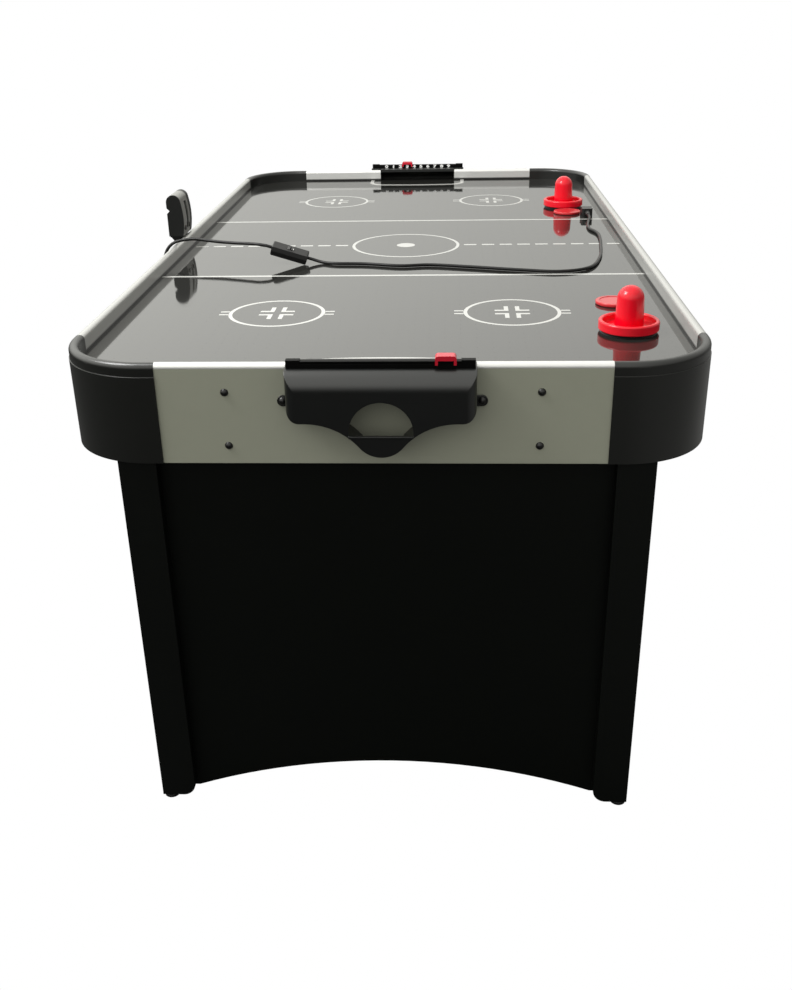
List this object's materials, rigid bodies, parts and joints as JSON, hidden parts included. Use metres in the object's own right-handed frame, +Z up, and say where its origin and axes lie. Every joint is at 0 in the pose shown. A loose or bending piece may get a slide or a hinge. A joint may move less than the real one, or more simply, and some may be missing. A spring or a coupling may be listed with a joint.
{
  "type": "air hockey table",
  "caption": "Free-standing air hockey table with rounded black corner caps, silver rails, hooded goals with score sliders, a side scorer, a blower and a mains lead.",
  "frame": {"origin": "on the floor below the middle of the table", "axes": "+X to the right across the table, +Y along the table to the far goal, +Z up"},
  "size_m": [1.0015, 1.921, 0.89],
  "materials": {
    "field_laminate": "dark, glossy laminated fibreboard with white printed markings and fine air holes",
    "fibreboard": "bare hardboard",
    "pine": "bare sawn pine",
    "silver_board": "fibreboard with a satin silver-grey laminate",
    "cap_plastic": "satin black moulding",
    "rail_aluminium": "satin anodised extrusion",
    "goal_plastic": "glossy black moulding",
    "marker_plastic": "translucent red moulding",
    "black_screw": "black oxide pan head",
    "leg_board": "fibreboard with a satin black laminate",
    "panel_board": "fibreboard with a matt black laminate",
    "zinc_steel": "zinc-plated steel",
    "foot_plastic": "black nylon",
    "blower_plastic": "black moulding",
    "motor_can": "drawn steel can",
    "scorer_plastic": "textured black moulding",
    "scorer_silver": "silver-grey paint on a moulding",
    "scorer_display": "smoked acrylic",
    "button_plastic": "dark grey moulding",
    "lead_sheath": "black flexible sheath",
    "switch_plastic": "black moulding",
    "rocker_plastic": "black moulding",
    "plug_brass": "plated brass",
    "pusher_red": "glossy red moulding",
    "puck_red": "glossy red moulding",
    "felt": "black felt"
  },
  "bodies": {
    "table": {"playfield": "field_laminate", "air_chamber_floor": "fibreboard", "battens": "pine", "side_apron_left": "silver_board", "side_apron_right": "silver_board", "end_apron_front": "silver_board", "end_apron_rear": "silver_board", "corner_cap_front_left": "cap_plastic", "corner_cap_front_right": "cap_plastic", "corner_cap_rear_left": "cap_plastic", "corner_cap_rear_right": "cap_plastic", "side_rail_left": "rail_aluminium", "side_rail_right": "rail_aluminium", "end_rails": "rail_aluminium", "goal_cover_front": "goal_plastic", "goal_cover_rear": "goal_plastic", "score_bar_front": "goal_plastic", "score_bar_rear": "goal_plastic", "pan_screws": "black_screw", "leg_front_left": "leg_board", "leg_front_right": "leg_board", "leg_rear_left": "leg_board", "leg_rear_right": "leg_board", "end_panel_front": "panel_board", "end_panel_rear": "panel_board", "end_cleats": "pine", "leg_bolts": "zinc_steel", "blower_housing": "blower_plastic", "blower_cover": "blower_plastic", "fan_motor": "motor_can", "blower_screws": "zinc_steel", "scorer_bracket": "scorer_plastic", "scorer_shell": "scorer_plastic", "scorer_frame": "scorer_silver", "scorer_window": "scorer_display", "lead_gland": "lead_sheath", "lead_to_switch": "lead_sheath", "lead_to_plug": "lead_sheath", "switch_body": "switch_plastic", "plug_body": "switch_plastic", "plug_blades": "plug_brass"},
    "score_marker_front": {"score_marker_front": "marker_plastic"},
    "score_marker_rear": {"score_marker_rear": "marker_plastic"},
    "switch_rocker": {"switch_rocker": "rocker_plastic"},
    "fan": {"fan": "blower_plastic", "fan_shaft": "zinc_steel"},
    "scorer_button_front": {"scorer_button_front": "button_plastic"},
    "scorer_button_rear": {"scorer_button_rear": "button_plastic"},
    "foot_front_left": {"foot_front_left": "foot_plastic"},
    "foot_front_right": {"foot_front_right": "foot_plastic"},
    "foot_rear_left": {"foot_rear_left": "foot_plastic"},
    "foot_rear_right": {"foot_rear_right": "foot_plastic"},
    "pusher_near": {"pusher_near": "pusher_red", "pusher_felt_near": "felt"},
    "pusher_far": {"pusher_far": "pusher_red", "pusher_felt_far": "felt"},
    "puck_near": {"puck_near": "puck_red"},
    "puck_far": {"puck_far": "puck_red"}
  },
  "joints": [
    {"name": "score_marker_front_slide", "type": "slide", "parent": "table", "child": "score_marker_front", "axis": [1, 0, 0], "range_m": [-0.18, 0]},
    {"name": "score_marker_rear_slide", "type": "slide", "parent": "table", "child": "score_marker_rear", "axis": [1, 0, 0], "range_m": [-0.06, 0.12]},
    {"name": "switch_rocker_hinge", "type": "hinge", "parent": "table", "child": "switch_rocker", "pos_m": [-0.23021, -0.17058, 0.79843], "axis": [0.0806, 0.9613, 0.2636], "range_deg": [0, 8]},
    {"name": "fan_spin", "type": "hinge", "parent": "table", "child": "fan", "pos_m": [0, 0, 0.7], "axis": [0, 0, 1], "continuous": true},
    {"name": "scorer_button_front_press", "type": "slide", "parent": "table", "child": "scorer_button_front", "axis": [-1, 0, 0], "range_m": [0, 0.0015], "stiffness_N_per_m": 600},
    {"name": "scorer_button_rear_press", "type": "slide", "parent": "table", "child": "scorer_button_rear", "axis": [-1, 0, 0], "range_m": [0, 0.0015], "stiffness_N_per_m": 600},
    {"name": "foot_front_left_turn", "type": "hinge", "parent": "table", "child": "foot_front_left", "pos_m": [-0.3895, -0.8865, 0], "axis": [0, 0, 1], "continuous": true},
    {"name": "foot_front_right_turn", "type": "hinge", "parent": "table", "child": "foot_front_right", "pos_m": [0.3895, -0.8865, 0], "axis": [0, 0, 1], "continuous": true},
    {"name": "foot_rear_left_turn", "type": "hinge", "parent": "table", "child": "foot_rear_left", "pos_m": [-0.3895, 0.8865, 0], "axis": [0, 0, 1], "continuous": true},
    {"name": "foot_rear_right_turn", "type": "hinge", "parent": "table", "child": "foot_rear_right", "pos_m": [0.3895, 0.8865, 0], "axis": [0, 0, 1], "continuous": true},
    {"name": "pusher_near_slide", "type": "slide", "parent": "table", "child": "pusher_near", "axis": [-1, 0, 0], "range_m": [0, 0.77]},
    {"name": "pusher_far_slide", "type": "slide", "parent": "table", "child": "pusher_far", "axis": [-1, 0, 0], "range_m": [0, 0.77]},
    {"name": "puck_near_slide", "type": "slide", "parent": "table", "child": "puck_near", "axis": [-1, 0, 0], "range_m": [0, 0.8]},
    {"name": "puck_far_slide", "type": "slide", "parent": "table", "child": "puck_far", "axis": [-1, 0, 0], "range_m": [0, 0.8]}
  ]
}
